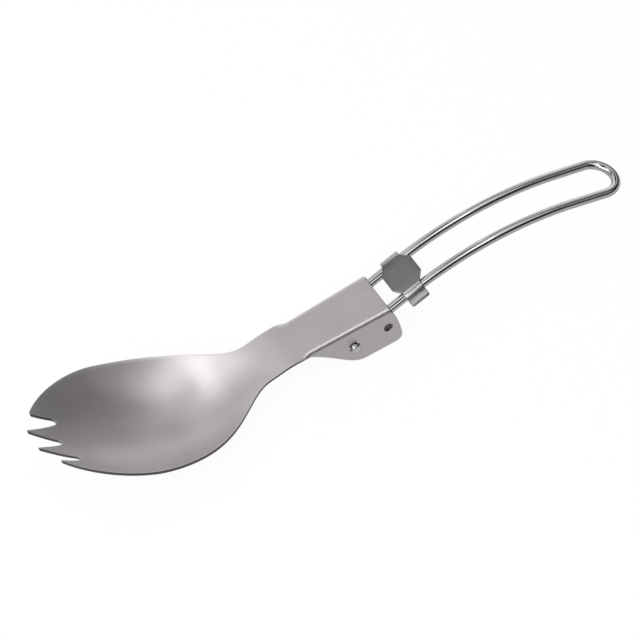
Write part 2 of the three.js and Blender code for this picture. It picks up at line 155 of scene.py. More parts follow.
def quadratic(points: tuple[Vector, Vector, Vector], share: float) -> Vector:
    """A point on a quadratic Bezier curve.

    Args:
        points: the start, the handle and the end.
        share: how far along the curve, 0 to 1.

    Returns:
        The point.
    """
    rest = 1 - share
    a, b, c = points
    return a * rest * rest + b * 2 * rest * share + c * share * share


def cubic_over(points: tuple[Vector, Vector, Vector, Vector], x: float) -> float:
    """The height of a cubic Bezier curve that runs along X, at a place."""
    return cubic(points, solve(lambda share: cubic(points, share).x, x)).y


def bearing(centre: Vector, point: Vector) -> float:
    """The angle from +X at which a point is seen from a centre."""
    return math.atan2(point.y - centre.y, point.x - centre.x)


def empty_tree(owner: bpy.types.Material | bpy.types.World) -> bpy.types.NodeTree:
    """The node tree of a material or a world, with nothing in it.

    Args:
        owner: the material or the world.

    Returns:
        Its tree.
    """
    owner.use_nodes = True
    owner.node_tree.nodes.clear()
    return owner.node_tree


def mesh_object(name: str, bm: bmesh.types.BMesh) -> bpy.types.Object:
    """A bmesh as an object of the scene.

    Args:
        name: the object's name.
        bm: the mesh, which is freed.

    Returns:
        The new object, at the origin.
    """
    mesh = bpy.data.meshes.new(name)
    bm.to_mesh(mesh)
    bm.free()
    made = bpy.data.objects.new(name, mesh)
    bpy.context.scene.collection.objects.link(made)
    return made


def finished_object(name: str, bm: bmesh.types.BMesh, frame: Matrix) -> bpy.types.Object:
    """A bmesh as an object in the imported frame, smooth but for its sharp edges.

    Args:
        name: the piece's name.
        bm: the mesh in millimetres, which is freed.
        frame: the step from the mesh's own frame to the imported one.

    Returns:
        The new object, at the origin.
    """
    bmesh.ops.transform(bm, matrix=frame, verts=bm.verts)
    made = mesh_object(name, bm)
    made.data.shade_smooth()
    made.data.set_sharp_from_angle(angle=SHARP_ANGLE)
    return made


def grow(
    bm: bmesh.types.BMesh, edges: list[bmesh.types.BMEdge]
) -> tuple[list[bmesh.types.BMVert], list[bmesh.types.BMEdge]]:
    """Extrudes edges into faces.

    Args:
        bm: the mesh.
        edges: the edges to extrude.

    Returns:
        The new vertices, still in the old ones' places, and the new edges between them.
    """
    grown = bmesh.ops.extrude_edge_only(bm, edges=edges)["geom"]
    verts = [item for item in grown if isinstance(item, bmesh.types.BMVert)]
    new = set(verts)
    new_edges = [item for item in grown if isinstance(item, bmesh.types.BMEdge)]
    return verts, [edge for edge in new_edges if new.issuperset(edge.verts)]


@dataclass(frozen=True)
class PinFrame:
    """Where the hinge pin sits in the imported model, and how far the spork is tilted at rest."""

    tilt: float = math.radians(4.677866)
    origin: tuple[float, float, float] = (1.284496, 0.0, 5.585418)

    def matrix(self) -> Matrix:
        """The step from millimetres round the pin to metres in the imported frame."""
        turn = Matrix.Rotation(-self.tilt, 4, "Y")
        return Matrix.Scale(MM, 4) @ Matrix.Translation(self.origin) @ turn


class Grain(Enum):
    """How a metal surface was worked, as the stretch of its grain along X, Y and Z."""

    BLASTED = (1.0, 1.0, 1.0)
    DRAWN = (0.3, 1.0, 1.0)
    BRUSHED = (0.12, 1.0, 1.0)


@dataclass(frozen=True)
class MetalFinish:
    """One metal finish and the node tree that shows it.

    The grain's sizes are in millimetres. The rim's tone is the lighter colour of wear on the pins and the
    bowl's rim, and of the painted highlight and sheen on that rim and on the slide's rolls, wings and edges.
    """

    name: str
    grain: Grain
    colour: tuple[float, float, float]
    rim: tuple[float, float, float]
    roughness: float
    roughness_spread: float
    grain_size: float
    grain_height: float
    mottle_size: float
    mottle: float

    def material(self, group: bpy.types.NodeTree) -> bpy.types.Material:
        """The finish as a material.

        Args:
            group: the shared node group that gives the grain, the mottle, the wear, the painted highlight and
                sheen, the painted shade and the darker edges.

        Returns:
            A new material with one Principled BSDF.
        """
        made = bpy.data.materials.new(self.name)
        tree = empty_tree(made)
        surface = tree.nodes.new("ShaderNodeBsdfPrincipled")
        output = tree.nodes.new("ShaderNodeOutputMaterial")
        worked = tree.nodes.new("ShaderNodeGroup")
        worked.node_tree = group
        bump = tree.nodes.new("ShaderNodeBump")
        values = {
            "Colour": (*self.colour, 1.0),
            "Wear And Sheen Colour": (*self.rim, 1.0),
            "Roughness": self.roughness,
            "Roughness Spread": self.roughness_spread,
            "Grain Scale": 1 / (self.grain_size * MM),
            "Grain Stretch": self.grain.value,
            "Mottle Scale": 1 / (self.mottle_size * MM),
            "Mottle": self.mottle,
        }
        for socket, value in values.items():
            worked.inputs[socket].default_value = value
        surface.inputs["Metallic"].default_value = 1.0
        bump.inputs["Strength"].default_value = 1.0
        bump.inputs["Distance"].default_value = self.grain_height * MM
        link = tree.links.new
        link(worked.outputs["Colour"], surface.inputs["Base Color"])
        link(worked.outputs["Roughness"], surface.inputs["Roughness"])
        link(worked.outputs["Height"], bump.inputs["Height"])
        link(bump.outputs["Normal"], surface.inputs["Normal"])
        link(surface.outputs["BSDF"], output.inputs["Surface"])
        return made


BLASTED_TITANIUM = MetalFinish(
    name="blasted_titanium",
    grain=Grain.BLASTED,
    colour=(0.5, 0.472, 0.478),
    rim=(0.66, 0.64, 0.64),
    roughness=0.47,
    roughness_spread=0.1,
    grain_size=0.22,
    grain_height=0.012,
    mottle_size=9.0,
    mottle=0.06,
)
POLISHED_WIRE = MetalFinish(
    name="polished_wire",
    grain=Grain.DRAWN,
    colour=(0.42, 0.42, 0.424),
    rim=(0.52, 0.52, 0.525),
    roughness=0.1,
    roughness_spread=0.05,
    grain_size=1.6,
    grain_height=0.003,
    mottle_size=6.0,
    mottle=0.05,
)
SATIN_SHEET = MetalFinish(
    name="satin_sheet",
    grain=Grain.BRUSHED,
    colour=(0.165, 0.165, 0.174),
    rim=(0.5, 0.5, 0.51),
    roughness=0.3,
    roughness_spread=0.1,
    grain_size=0.16,
    grain_height=0.006,
    mottle_size=4.0,
    mottle=0.08,
)

# Lighter colour: wear on the wire's pins and on the bowl's rim, and painted highlight and sheen on that rim
# and on the slide's rolls, wings and edges.
WEAR_AND_SHEEN_ATTRIBUTE = "wear_and_painted_sheen"
# Darker colour on edges: painted shade on the slide's cut faces, and darker towards the outermost line of the
# bowl's rim.
DARKENED_EDGE_ATTRIBUTE = "darkened_edge"
# Painted shade inside the hinge holes and the dents.
PIT_SHADE_ATTRIBUTE = "painted_pit_shade"
BURNISH_ATTRIBUTE = "burnished"


class WorkedMetal:
    """The node group that every finish shares: grain, mottle, wear, painted highlight and sheen, painted
    shade in pits and on cut faces, and darker rim edges.

    MIX_INPUTS and MIX_OUTPUT are the mix node's sockets for colours.
    """

    INPUTS = (
        ("Colour", "NodeSocketColor"),
        ("Wear And Sheen Colour", "NodeSocketColor"),
        ("Roughness", "NodeSocketFloat"),
        ("Roughness Spread", "NodeSocketFloat"),
        ("Grain Scale", "NodeSocketFloat"),
        ("Grain Stretch", "NodeSocketVector"),
        ("Mottle Scale", "NodeSocketFloat"),
        ("Mottle", "NodeSocketFloat"),
    )
    OUTPUTS = (
        ("Colour", "NodeSocketColor"),
        ("Roughness", "NodeSocketFloat"),
        ("Height", "NodeSocketFloat"),
    )
    # How far the darker edges and the painted shade in pits darken the colour.
    EDGE_AND_PIT_DARKENING = 0.8
    BURNISH = 0.2
    GRAIN_DETAIL = 3.0
    MOTTLE_DETAIL = 2.0
    NOISE_MIDDLE = 0.5
    MIX_INPUTS = (6, 7)
    MIX_OUTPUT = 2

    def build(self) -> bpy.types.NodeTree:
        """The finished node group.

        Returns:
            A shader node group with the sockets named above.
        """
        tree = bpy.data.node_groups.new("worked_metal", "ShaderNodeTree")
        for name, kind in self.INPUTS:
            tree.interface.new_socket(name=name, in_out="INPUT", socket_type=kind)
        for name, kind in self.OUTPUTS:
            tree.interface.new_socket(name=name, in_out="OUTPUT", socket_type=kind)
        enter = tree.nodes.new("NodeGroupInput")
        leave = tree.nodes.new("NodeGroupOutput")
        place = tree.nodes.new("ShaderNodeTexCoord")
        grain = self.noise(tree, self.GRAIN_DETAIL)
        mottle = self.noise(tree, self.MOTTLE_DETAIL)
        link = tree.links.new
        drawn_out = tree.nodes.new("ShaderNodeVectorMath")
        drawn_out.operation = "MULTIPLY"
        link(place.outputs["Object"], drawn_out.inputs[0])
        link(enter.outputs["Grain Stretch"], drawn_out.inputs[1])
        link(drawn_out.outputs["Vector"], grain.inputs["Vector"])
        link(place.outputs["Object"], mottle.inputs["Vector"])
        link(enter.outputs["Grain Scale"], grain.inputs["Scale"])
        link(enter.outputs["Mottle Scale"], mottle.inputs["Scale"])

        centred = self.maths(tree, "SUBTRACT", mottle.outputs["Fac"], self.NOISE_MIDDLE)
        swing = self.maths(tree, "MULTIPLY", centred, enter.outputs["Mottle"])
        gain = self.maths(tree, "MULTIPLY_ADD", swing, 2.0, 1.0)
        tinted = self.scaled(tree, enter.outputs["Colour"], gain)

        # Lighter colour where the pins and the bowl's rim are worn and where highlight and sheen are painted
        # on the rim and the slide.
        blend = tree.nodes.new("ShaderNodeMix")
        blend.data_type = "RGBA"
        link(self.attribute(tree, WEAR_AND_SHEEN_ATTRIBUTE), blend.inputs["Factor"])
        for colour, index in zip((tinted, enter.outputs["Wear And Sheen Colour"]), self.MIX_INPUTS):
            link(colour, blend.inputs[index])
        # Darker colour: painted shade in the pits and on the slide's cut faces, and darker towards the bowl's
        # outer rim.
        dark = self.maths(
            tree, "MAXIMUM", self.attribute(tree, DARKENED_EDGE_ATTRIBUTE), self.attribute(tree, PIT_SHADE_ATTRIBUTE)
        )
        shade = self.maths(tree, "MULTIPLY_ADD", dark, -self.EDGE_AND_PIT_DARKENING, 1.0)
        link(self.scaled(tree, blend.outputs[self.MIX_OUTPUT], shade), leave.inputs["Colour"])

        pitted = self.maths(tree, "SUBTRACT", grain.outputs["Fac"], self.NOISE_MIDDLE)
        both = self.maths(tree, "ADD", pitted, centred)
        spread = self.maths(tree, "MULTIPLY", both, enter.outputs["Roughness Spread"])
        rough = self.maths(tree, "ADD", spread, enter.outputs["Roughness"])
        pressed = self.attribute(tree, BURNISH_ATTRIBUTE)
        smoothed = self.maths(tree, "MULTIPLY_ADD", pressed, -self.BURNISH, rough)
        link(smoothed, leave.inputs["Roughness"])
        link(grain.outputs["Fac"], leave.inputs["Height"])
        return tree

    @staticmethod
    def attribute(tree: bpy.types.NodeTree, name: str) -> bpy.types.NodeSocket:
        """The value of a mesh attribute, 0 on a mesh without it.

        Args:
            tree: the group that takes the node.
            name: the attribute.

        Returns:
            The node's output.
        """
        node = tree.nodes.new("ShaderNodeAttribute")
        node.attribute_type = "GEOMETRY"
        node.attribute_name = name
        return node.outputs["Fac"]

    @staticmethod
    def scaled(
        tree: bpy.types.NodeTree, colour: bpy.types.NodeSocket, scale: bpy.types.NodeSocket
    ) -> bpy.types.NodeSocket:
        """A colour times a number.

        Args:
            tree: the group that takes the node.
            colour: the colour's socket.
            scale: the number's socket.

        Returns:
            The node's output.
        """
        node = tree.nodes.new("ShaderNodeVectorMath")
        node.operation = "SCALE"
        tree.links.new(colour, node.inputs["Vector"])
        tree.links.new(scale, node.inputs["Scale"])
        return node.outputs["Vector"]

    @staticmethod
    def noise(tree: bpy.types.NodeTree, detail: float) -> bpy.types.Node:
        """A noise texture.

        Args:
            tree: the group that takes the node.
            detail: how many finer layers it has.

        Returns:
            The node.
        """
        made = tree.nodes.new("ShaderNodeTexNoise")
        made.inputs["Detail"].default_value = detail
        return made

    @staticmethod
    def maths(
        tree: bpy.types.NodeTree, operation: str, *terms: bpy.types.NodeSocket | float
    ) -> bpy.types.NodeSocket:
        """A Math node over sockets and plain numbers.

        Args:
            tree: the group that takes the node.
            operation: the node's operation.
            terms: its inputs in order, each a socket or a number.

        Returns:
            The node's output.
        """
        node = tree.nodes.new("ShaderNodeMath")
        node.operation = operation
        for index, term in enumerate(terms):
            if isinstance(term, bpy.types.NodeSocket):
                tree.links.new(term, node.inputs[index])
            else:
                node.inputs[index].default_value = term
        return node.outputs[0]


class Lane(IntEnum):
    """The strips side by side at the front of the bowl, from the centre line outwards."""

    MIDDLE_SLOT = 0
    INNER_TINE = 1
    OUTER_SLOT = 2
    OUTER_TINE = 3


@dataclass
class SporkHead:
    """The stamped head: bowl, tines, neck and the channel that carries the hinge.

    The knots of rim_shape and depth_shape run from the plate to the nose. The first one mirrors the third, so
    that the curve leaves the plate flat.
    """

    sheet: float = HEAD_SHEET
    bowl_width: float = 37.0
    nose_length: float = 23.9
    shoulder_length: float = 34.5
    shoulder_fullness: float = 22.0
    shoulder_hollow: float = 8.0
    nose_power: float = 1.75
    neck_width: float = 12.8
    neck_length: float = 7.8
    neck_blend: float = 4.0
    tip_rise: float = 18.1
    bowl_depth: float = 8.5
    dish_power: float = 2.1
    rim_shape: Knots = (
        (-0.04, -0.006), (0, 0), (0.04, -0.006), (0.104, -0.04), (0.236, -0.096),
        (0.389, -0.022), (0.557, 0.198), (0.74, 0.533), (1, 1),
    )
    depth_shape: Knots = (
        (-0.04, 0.005), (0, 0), (0.04, 0.005), (0.104, 0.035), (0.227, 0.235), (0.349, 0.66),
        (0.471, 0.94), (0.592, 1), (0.755, 0.85), (0.903, 0.46), (1, 0),
    )

    slot_radius: float = 0.85
    middle_slot: float = 6.6
    outer_slot: float = 8.3
    outer_slot_offset: float = 6.5
    inner_tip_offset: float = 2.95
    outer_tip_offset: float = 8.05
    outer_tip_setback: float = 3.0
    inner_tip_blunt: float = 0.7
    outer_tip_blunt: float = 0.7
    slot_run_out: float = 3.2

    leg_spacing: float = LEG_SPACING
    wire_radius: float = WIRE_RADIUS
    leg_clearance: float = LEG_CLEARANCE
    pin_clearance: float = 0.3
    plate_height: float = 5.74
    plate_taper: float = 0.03
    plate_rear: float = 11.3
    bend_radius: float = 1.5
    bend_start: float = -15.0
    bend_run: float = 4.5
    flange_splay: float = math.radians(5)
    flange_start: float = -11.3
    flange_slope_run: float = 6.25
    flange_slope_fall: float = 4.1
    flange_toe: float = 3.8
    flange_floor_start: float = 2.0
    flange_drop: float = 5.7
    flange_flare: float = 1.35
    flange_corner: float = 2.2
    shear_start: float = 4.0

    dent_reach: float = 9.5
    dent_height: float = 0.4
    dent_radius: float = 1.3
    dent_depth: float = 0.72
    # How dark the painted shade in the dents is; the hole walls take it in full.
    dent_shade: float = 1.0
    bend_burnish: float = 0.4
    bend_foot_fade: tuple[float, float] = (0.05, 0.3)
    bend_top_fade: tuple[float, float] = (0.93, 1.0)
    cut_slack: float = 0.001

    rim_round: float = 0.18
    # Wear and painted highlight: how much lighter the bowl's rim is along its edges on the faces.
    rim_wear_and_highlight: float = 0.5
    rim_steps: int = 3
    widest_corner: float = 2.0
    least_rise: float = 0.2
    least_reach: float = 1e-6

    tine_rows: tuple[int, int, int] = (10, 13, 19)
    bowl_rows: int = 64
    neck_rows: int = 12
    twist_rows: int = 9
    flange_rows: int = 44
    lane_columns: tuple[int, int, int, int] = (3, 8, 6, 11)
    curl_share: float = 0.45
    plate_columns: int = 9
    bend_columns: int = 8
    hole_sides: int = 40
    dent_columns: int = 48
    dent_rows: int = 32

    height: Callable[[float], float] = field(init=False, repr=False)
    hollow: Callable[[float], float] = field(init=False, repr=False)

    def __post_init__(self) -> None:
        """Works out the places that follow from the sizes."""
        self.height = through(self.rim_shape)
        self.hollow = through(self.depth_shape)
        self.full_bend = math.pi / 2 - self.flange_splay
        self.curl = self.bend_radius * self.full_bend
        self.bend_drop = self.bend_radius * (1 - math.cos(self.full_bend))
        self.neck_start = self.bend_start - self.neck_length
        self.widest = self.neck_start - self.shoulder_length
        self.nose = self.widest - self.nose_length
        self.rear = self.plate_rear + self.flange_flare
        self.columns = sum(self.lane_columns)
        self.join = self.nose + self.outer_slot + self.slot_run_out
        half = self.bowl_width / 2
        self.shoulder = (
            Vector((self.widest, half)),
            Vector((self.widest + self.shoulder_fullness, half)),
            Vector((self.neck_start - self.shoulder_hollow, self.neck_width / 2)),
            Vector((self.neck_start, self.neck_width / 2)),
        )
        top = self.plate_height - self.bend_drop
        self.flange_edge = (
            Vector((self.flange_start, top)),
            Vector((self.flange_start + self.flange_slope_run, top - self.flange_slope_fall)),
            Vector((self.flange_floor_start - self.flange_toe, -self.flange_drop)),
            Vector((self.flange_floor_start, -self.flange_drop)),
        )
        corner_top = self.flange_corner - self.flange_drop
        self.rear_edge = (
            Vector((self.plate_rear, self.plate_height - self.sheet)),
            Vector((self.rear, self.plate_height / 2)),
            Vector((self.rear, corner_top)),
        )
        self.lane_edges = self.tine_outline()

    def channel_half(self, x: float) -> float:
        """Outside half width of the channel at the level of the plate's bend."""
        at_pin = self.leg_spacing / 2 + self.wire_radius + self.leg_clearance + self.sheet
        return at_pin - self.plate_height * math.tan(self.flange_splay) + self.plate_taper * x

    def flat_half(self, x: float) -> float:
        """Half width of the plate between its two bends."""
        return self.channel_half(x) - self.bend_radius * math.sin(self.full_bend)

    def outline(self, x: float) -> float:
        """Half width of the head, laid out flat.

        Args:
            x: the place along the head.

        Returns:
            The distance from the centre line to the edge, across the sheet.
        """
        half = self.bowl_width / 2
        if x <= self.widest:
            ahead = clamp((self.widest - x) / self.nose_length) ** (self.nose_power / 2)
            return half * math.sqrt(1 - ahead * ahead) ** (2 / self.nose_power)
        if x <= self.neck_start:
            return cubic_over(self.shoulder, x)
        if x <= self.bend_start:
            return self.neck_width / 2
        if x <= self.flange_start:
            share = (x - self.bend_start) / (self.flange_start - self.bend_start)
            return lerp(self.neck_width / 2, self.flat_half(x) + self.curl, share)
        floor = -self.flange_drop
        if x < self.flange_floor_start:
            floor = cubic_over(self.flange_edge, x)
        fall = self.plate_height - self.bend_drop - floor
        return self.flat_half(x) + self.curl + fall / math.cos(self.flange_splay)

    def inset(self, x: float) -> float:
        """Half width of the flat sheet inside the rounded rim."""
        return self.outline(x) - self.rim_round

    def surface(self, x: float, run: float) -> Vector:
        """A point of the upper face.

        Args:
            x: the place along the head.
            run: the distance from the centre line across the sheet, never negative.

        Returns:
            The point, on the far side of the centre line.
        """
        along = clamp((self.bend_start - x) / (self.bend_start - self.nose))
        rim = self.plate_height + self.tip_rise * self.height(along)
        depth = self.bowl_depth * self.hollow(along)
        reach = self.outline(x)
        bend = self.full_bend * smoothstep(x, self.bend_start, self.bend_start + self.bend_run)
        dish = depth * (1 - clamp(run / max(reach, self.least_reach)) ** self.dish_power)
        if bend <= 0:
            return Vector((x, run, rim - dish))
        flat = self.flat_half(x)
        past = max(run - flat, 0.0)
        angle = bend * min(past / self.curl, 1.0)
        radius = self.curl / bend
        straight = max(past - self.curl, 0.0)
        y = min(run, flat) + radius * math.sin(angle) + straight * math.cos(bend)
        fall = radius * (1 - math.cos(angle)) + straight * math.sin(bend)
        return Vector((x, y, rim - dish - fall))

    def tangent(self, centre: Vector, tip: Vector, side: int) -> Vector:
        """The point where a line from a tine's tip touches a slot's round end.

        Args:
            centre: the middle of the round end.
            tip: the tine's tip.
            side: 1 or -1, for one or the other of the two lines.

        Returns:
            The point, seen from above.
        """
        away = tip - centre
        turn = math.atan2(away.y, away.x) + side * math.acos(self.slot_radius / away.length)
        return centre + Vector((math.cos(turn), math.sin(turn))) * self.slot_radius

    def slot_end(self, centre: Vector, start: float, end: float, share: float) -> Vector:
        """A point round the end of a slot, outside it by the rim's rounding.

        Args:
            centre: the middle of the round end.
            start: the bearing of the arc's start.
            end: the bearing of its end.
            share: how far along the arc, 0 to 1.

        Returns:
            The point, seen from above.
        """
        turn = lerp(start, end, share)
        return centre + Vector((math.cos(turn), math.sin(turn))) * (self.slot_radius + self.rim_round)

    def tine_outline(self) -> dict[str, Vector]:
        """The named points of the slots and tips on the far side, seen from above.

        The sides lie inside the tines by the rim's rounding, which is rolled round them later.

        Returns:
            The slots' centres, the tangent points of their sides, and the blunted tips.
        """
        inner = Vector((self.nose, self.inner_tip_offset))
        outer = Vector((self.nose + self.outer_tip_setback, self.outer_tip_offset))
        middle_centre = Vector((self.nose + self.middle_slot - self.slot_radius, 0.0))
        closed = Vector((self.nose + self.outer_slot, self.outer_slot_offset))
        mouth = (inner + outer) / 2
        outer_centre = closed + (mouth - closed).normalized() * self.slot_radius
        middle = self.tangent(middle_centre, inner, -1)
        near_side = self.tangent(outer_centre, inner, 1)
        far_side = self.tangent(outer_centre, outer, -1)
        sides = {
            "middle": (middle, middle_centre, inner, self.inner_tip_blunt),
            "near_side": (near_side, outer_centre, inner, self.inner_tip_blunt),
            "far_side": (far_side, outer_centre, outer, self.outer_tip_blunt),
        }
        named = {"middle_centre": middle_centre, "outer_centre": outer_centre}
        for name, (touch, centre, tip, blunt) in sides.items():
            inwards = (touch - centre).normalized() * self.rim_round
            named[name] = touch + inwards
            named[name + "_tip"] = tip.lerp(touch, blunt / (touch.x - tip.x)) + inwards
        return named

    def front_edges(self, row: int) -> list[Vector]:
        """Where the far side's lane edges stand in a row of the tines.

        Args:
            row: the row, from the tips (0) to the place where all lanes join.

        Returns:
            The middle slot's side, the outer slot's two sides and the outline.
        """
        middle_row, outer_row, join_row = self.tine_rows
        named = self.lane_edges
        joined = self.join_edges()

        def along(tip: Vector, touch: Vector, last: Vector, touch_row: int) -> Vector:
            """Where an edge stands in the row: first beside its slot, then on the way to the join."""
            if row <= touch_row:
                return tip.lerp(touch, row / touch_row)
            return touch.lerp(last, (row - touch_row) / (join_row - touch_row))

        x = lerp(named["far_side_tip"].x, self.join, row / join_row)
        return [
            along(named["middle_tip"], named["middle"], joined[0], middle_row),
            along(named["near_side_tip"], named["near_side"], joined[1], outer_row),
            along(named["far_side_tip"], named["far_side"], joined[2], outer_row),
            Vector((x, self.inset(x))),
        ]

    def join_edges(self) -> list[Vector]:
        """Where the lane edges stand in the row behind the slots."""
        across = [self.lane_edges[name].y for name in ("middle", "near_side", "far_side")]
        return [Vector((self.join, y)) for y in [*across, self.inset(self.join)]]

    def front_point(self, row: int, column: int) -> Vector:
        """A vertex of the tines, seen from above.

        Args:
            row: the row, from the tips backwards.
            column: the column, from the centre line to the far edge.

        Returns:
            Its place along and across the head.
        """
        edges = self.front_edges(row)
        middle_row, outer_row, join_row = self.tine_rows
        counts = self.lane_columns
        left = column
        lane = 0
        while lane < Lane.OUTER_TINE and left > counts[lane]:
            left -= counts[lane]
            lane += 1
        share = left / counts[lane]
        if lane == Lane.MIDDLE_SLOT:
            point = Vector((edges[0].x, edges[0].y * share))
            centre, touch = self.lane_edges["middle_centre"], self.lane_edges["middle"]
            fade = clamp(1 - (row - middle_row) / (join_row - middle_row))
            arc = self.slot_end(centre, 0.0, bearing(centre, touch), share)
            flat = Vector((touch.x, touch.y * share))
            return point + (arc - flat) * fade
        point = edges[lane - 1].lerp(edges[lane], share)
        if lane == Lane.OUTER_SLOT:
            centre = self.lane_edges["outer_centre"]
            low, high = self.lane_edges["near_side"], self.lane_edges["far_side"]
            fade = clamp(1 - (row - outer_row) / (join_row - outer_row))
            arc = self.slot_end(centre, bearing(centre, low), bearing(centre, high), share)
            return point + (arc - low.lerp(high, share)) * fade
        return point

    def row_places(self) -> list[float]:
        """Where the rows behind the tines stand along the head.

        Returns:
            Their places, from the join to the rear.
        """
        stretches = (
            (self.join, self.neck_start, self.bowl_rows),
            (self.neck_start, self.bend_start, self.neck_rows),
            (self.bend_start, self.flange_start, self.twist_rows),
            (self.flange_start, self.rear, self.flange_rows),
        )
        places = []
        for start, end, count in stretches:
            places.extend(lerp(start, end, (n + 1) / count) for n in range(count))
        return places

    def body_run(self, x: float, column: int) -> float:
        """How far across the sheet a column stands, in the rows behind the tines.

        Args:
            x: the row's place along the head.
            column: the column, from the centre line to the far edge.

        Returns:
            The distance from the centre line.
        """
        reach = self.inset(x)
        joined = self.inset(self.join)
        front = self.front_point(self.tine_rows[-1], column).y / joined
        even = column / self.columns
        spread = smoothstep(x, self.join, self.widest + self.shoulder_length / 2)
        run = lerp(front, even, spread) * reach
        turned = smoothstep(x, self.neck_start - self.neck_blend, self.bend_start)
        if turned <= 0:
            return run
        flat = self.flat_half(x)
        curled = min(self.curl, self.curl_share * (reach - flat))
        past_plate = column - self.plate_columns
        past_bend = past_plate - self.bend_columns
        rest = self.columns - self.plate_columns - self.bend_columns
        laid = flat * min(column / self.plate_columns, 1)
        laid += curled * clamp(past_plate / self.bend_columns)
        laid += (reach - flat - curled) * max(past_bend, 0) / rest
        return lerp(run, laid, turned)

    def body_point(self, x: float, column: int) -> Vector:
        """A vertex behind the tines, on the far side.

        Args:
            x: the row's place along the head, before the rear is cut to its slanted edge.
            column: the column, from the centre line to the far edge.

        Returns:
            Its place.
        """
        point = self.surface(x, self.body_run(x, column))
        if x <= self.shear_start:
            return point
        share = (x - self.shear_start) / (self.rear - self.shear_start)
        end = self.plate_rear
        if point.z < self.rear_edge[0].y:
            end = quadratic(self.rear_edge, solve(lambda t: -quadratic(self.rear_edge, t).y, -point.z)).x
        place = x + share * (end - self.rim_round - self.rear)
        moved = self.surface(place, self.body_run(place, column))
        corner = self.flange_corner - self.rim_round
        corner_x = self.rear - self.flange_corner
        corner_z = self.flange_corner - self.flange_drop
        a = clamp((moved.x - corner_x) / corner)
        b = clamp((corner_z - moved.z) / corner)
        if a > 0 and b > 0:
            moved.x = corner_x + corner * a * math.sqrt(1 - b * b / 2)
            moved.z = corner_z - corner * b * math.sqrt(1 - a * a / 2)
        return moved

    def upper_face(self) -> bmesh.types.BMesh:
        """The head's upper face: a grid laid on the surface, with the slots taken out.

        Returns:
            The sheet without its thickness. Each vertex keeps its row and column in the layer "place".
        """
        places = self.row_places()
        middle_row, outer_row, front = self.tine_rows
        rows = front + len(places)
        across = 2 * self.columns
        bm = bmesh.new()
        bmesh.ops.create_grid(bm, x_segments=rows, y_segments=across, size=1.0)
        layer = bm.verts.layers.int.new("place")
        bm.verts.layers.float.new(WEAR_AND_SHEEN_ATTRIBUTE)
        bm.verts.layers.float.new(DARKENED_EDGE_ATTRIBUTE)
        for vert in bm.verts:
            row = round((vert.co.x + 1) / 2 * rows)
            step = round((vert.co.y + 1) / 2 * across) - self.columns
            vert[layer] = row * (across + 1) + step + self.columns
            side = 1 if step >= 0 else -1
            if row <= front:
                plan = self.front_point(row, abs(step))
                point = self.surface(plan.x, plan.y)
            else:
                point = self.body_point(places[row - front - 1], abs(step))
            vert.co = (point.x, side * point.y, point.z)
        first_slot = self.lane_columns[Lane.MIDDLE_SLOT]
        second_slot = first_slot + self.lane_columns[Lane.INNER_TINE]
        slot_end = second_slot + self.lane_columns[Lane.OUTER_SLOT]
        opened = []
        for face in bm.faces:
            keys = [divmod(vert[layer], across + 1) for vert in face.verts]
            row = min(key[0] for key in keys)
            steps = [abs(key[1] - self.columns) for key in keys]
            in_middle = max(steps) <= first_slot and row < middle_row
            in_outer = min(steps) >= second_slot and max(steps) <= slot_end and row < outer_row
            if in_middle or in_outer:
                opened.append(face)
        bmesh.ops.delete(bm, geom=opened, context="FACES")
        bmesh.ops.recalc_face_normals(bm, faces=bm.faces)
        plate = max(bm.faces, key=lambda face: face.calc_center_median().x - abs(face.calc_center_median().y))
        if plate.normal.z < 0:
            bmesh.ops.reverse_faces(bm, faces=bm.faces)
        bm.normal_update()
        return bm

    def thicken(self, bm: bmesh.types.BMesh) -> None:
        """Gives the upper face its thickness and rolls a rounded rim round it.

        Args:
            bm: the upper face, inset by the rim's rounding. The bowl's lower face lies straight below it, so
                that its edge stands upright, and the channel's lies square to it.
        """
        layer = bm.verts.layers.int["place"]
        wear_and_sheen_layer = bm.verts.layers.float[WEAR_AND_SHEEN_ATTRIBUTE]
        cut = bm.verts.layers.float[DARKENED_EDGE_ATTRIBUTE]
        upper = {vert[layer]: vert.co.copy() for vert in bm.verts}
        lower: dict[int, Vector] = {}
        outward: dict[int, Vector] = {}
        rim_highlight_and_wear: dict[int, float] = {}
        for vert in bm.verts:
            square = vert.co - vert.normal * self.sheet
            upright = vert.co - Vector((0, 0, self.sheet / max(vert.normal.z, self.least_rise)))
            channel = smoothstep(vert.co.x, self.neck_start, self.bend_start)
            lower[vert[layer]] = upright.lerp(square, channel)
            if vert.is_boundary:
                # Wear and painted highlight along the rim, fading out towards the channel.
                rim_highlight_and_wear[vert[layer]] = self.rim_wear_and_highlight * (1 - channel)
                vert[wear_and_sheen_layer] = rim_highlight_and_wear[vert[layer]]
                outward[vert[layer]] = self.outward(vert) * self.rim_round
        ring = [edge for edge in bm.edges if edge.is_boundary]
        copied = bmesh.ops.duplicate(bm, geom=list(bm.faces))["geom"]
        under_verts = [item for item in copied if isinstance(item, bmesh.types.BMVert)]
        for vert in under_verts:
            vert.co = lower[vert[layer]]
        turns = [math.pi / 2 * (n + 1) / self.rim_steps for n in range(self.rim_steps)]
        rings = [(upper, lower, turn) for turn in turns]
        rings += [(lower, upper, turn) for turn in [*reversed(turns), 0.0]]
        verts: list[bmesh.types.BMVert] = []
        for from_face, to_face, turn in rings:
            verts, ring = grow(bm, ring)
            for vert in verts:
                key = vert[layer]
                inwards = (to_face[key] - from_face[key]).normalized() * self.rim_round
                vert.co = from_face[key] + outward[key] * math.sin(turn) + inwards * (1 - math.cos(turn))
